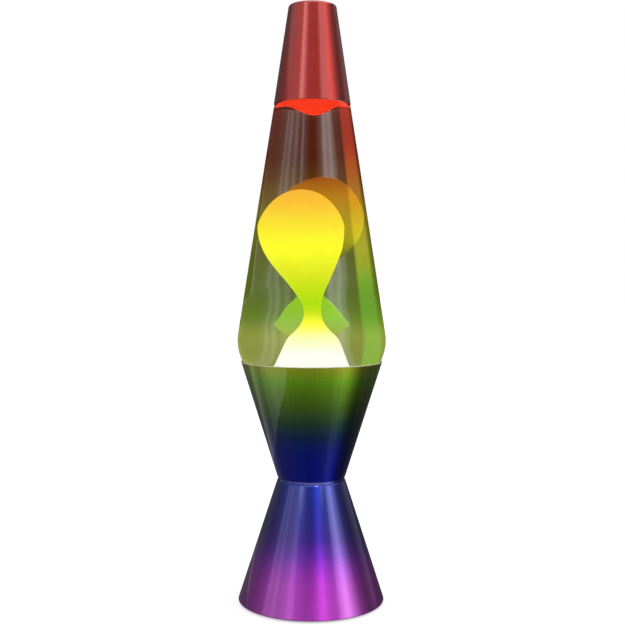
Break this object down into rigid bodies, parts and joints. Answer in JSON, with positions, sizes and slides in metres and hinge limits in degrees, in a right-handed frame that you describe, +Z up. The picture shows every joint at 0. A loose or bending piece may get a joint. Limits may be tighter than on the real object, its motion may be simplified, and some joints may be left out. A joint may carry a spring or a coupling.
{
  "type": "lava lamp",
  "caption": "Waisted metal table lamp with a lift-off tapered glass globe of liquid and wax, a lift-off metal cap and a screw-in bulb in the base.",
  "frame": {"origin": "centre of the footprint, at the level the rubber feet stand on", "axes": "+Z up along the lamp's axis of revolution; the cord bushing is at the rear, +Y, and the lamp is seen from -Y"},
  "size_m": [0.092, 0.092, 0.3683],
  "materials": {
    "cap_paint": "metallic translucent lacquer over spun aluminium, dark red",
    "base_paint": "metallic translucent lacquer over spun aluminium, fading green, blue and magenta",
    "ring_paint": "satin dark blue",
    "globe_glass": "clear, with a tinted fade from red at the top to green at the foot",
    "liquid": "clear tinted liquid",
    "wax": "translucent glowing wax",
    "steel_wire": "bright drawn wire",
    "tinplate": "tinplate",
    "liner": "soft moulded liner",
    "phenolic": "moulded black",
    "brass": "pressed brass",
    "nickel": "nickel plated",
    "bulb_glass": "clear blown glass",
    "cement": "basing cement",
    "black_glass": "opaque black glass",
    "solder": "dull solder",
    "tungsten": "drawn wire",
    "zinc_plate": "zinc plated",
    "rubber": "matt moulded rubber",
    "label": "blank silver foil",
    "nylon": "moulded black nylon"
  },
  "bodies": {
    "base": {"base_upper_cone": "base_paint", "base_lower_cone": "base_paint", "waist_ring": "ring_paint", "lampholder_housing": "phenolic", "lampholder_ring_nut": "phenolic", "socket_thread_shell": "brass", "socket_tongue": "brass", "terminal_plates": "brass", "terminal_screws": "brass", "lampholder_rivets": "brass", "base_plate": "zinc_plate", "base_plate_tabs": "zinc_plate", "base_plate_screws": "zinc_plate", "rubber_feet": "rubber", "rating_label": "label", "cord_bushing": "nylon"},
    "globe": {"globe_glass": "globe_glass", "globe_liquid": "liquid", "wax_column": "wax", "wax_lens": "wax", "coil_spring": "steel_wire", "crown_cap": "tinplate", "crown_liner": "liner"},
    "cap": {"top_cap": "cap_paint"},
    "bulb_tip": {"bulb_tip_contact": "solder"},
    "bulb": {"bulb_envelope": "bulb_glass", "bulb_stem": "bulb_glass", "bulb_screw_shell": "nickel", "bulb_cement": "cement", "bulb_insulator": "black_glass", "bulb_filament": "tungsten", "bulb_lead_wires": "tungsten"}
  },
  "joints": [
    {"name": "globe_lift", "type": "slide", "parent": "base", "child": "globe", "axis": [0, 0, 1], "range_m": [0, 0.04]},
    {"name": "cap_lift", "type": "slide", "parent": "globe", "child": "cap", "axis": [0, 0, 1], "range_m": [0, 0.045]},
    {"name": "bulb_rise", "type": "slide", "parent": "base", "child": "bulb_tip", "axis": [0, 0, 1], "range_m": [0, 0.0085]},
    {"name": "bulb_turn", "type": "hinge", "parent": "bulb_tip", "child": "bulb", "pos_m": [0, 0, 0.0602], "axis": [0, 0, 1], "range_deg": [0, 1080]}
  ],
  "couplings": [
    {"joint": "bulb_rise", "follows": "bulb_turn", "m_per_rad": 0.00044913}
  ]
}
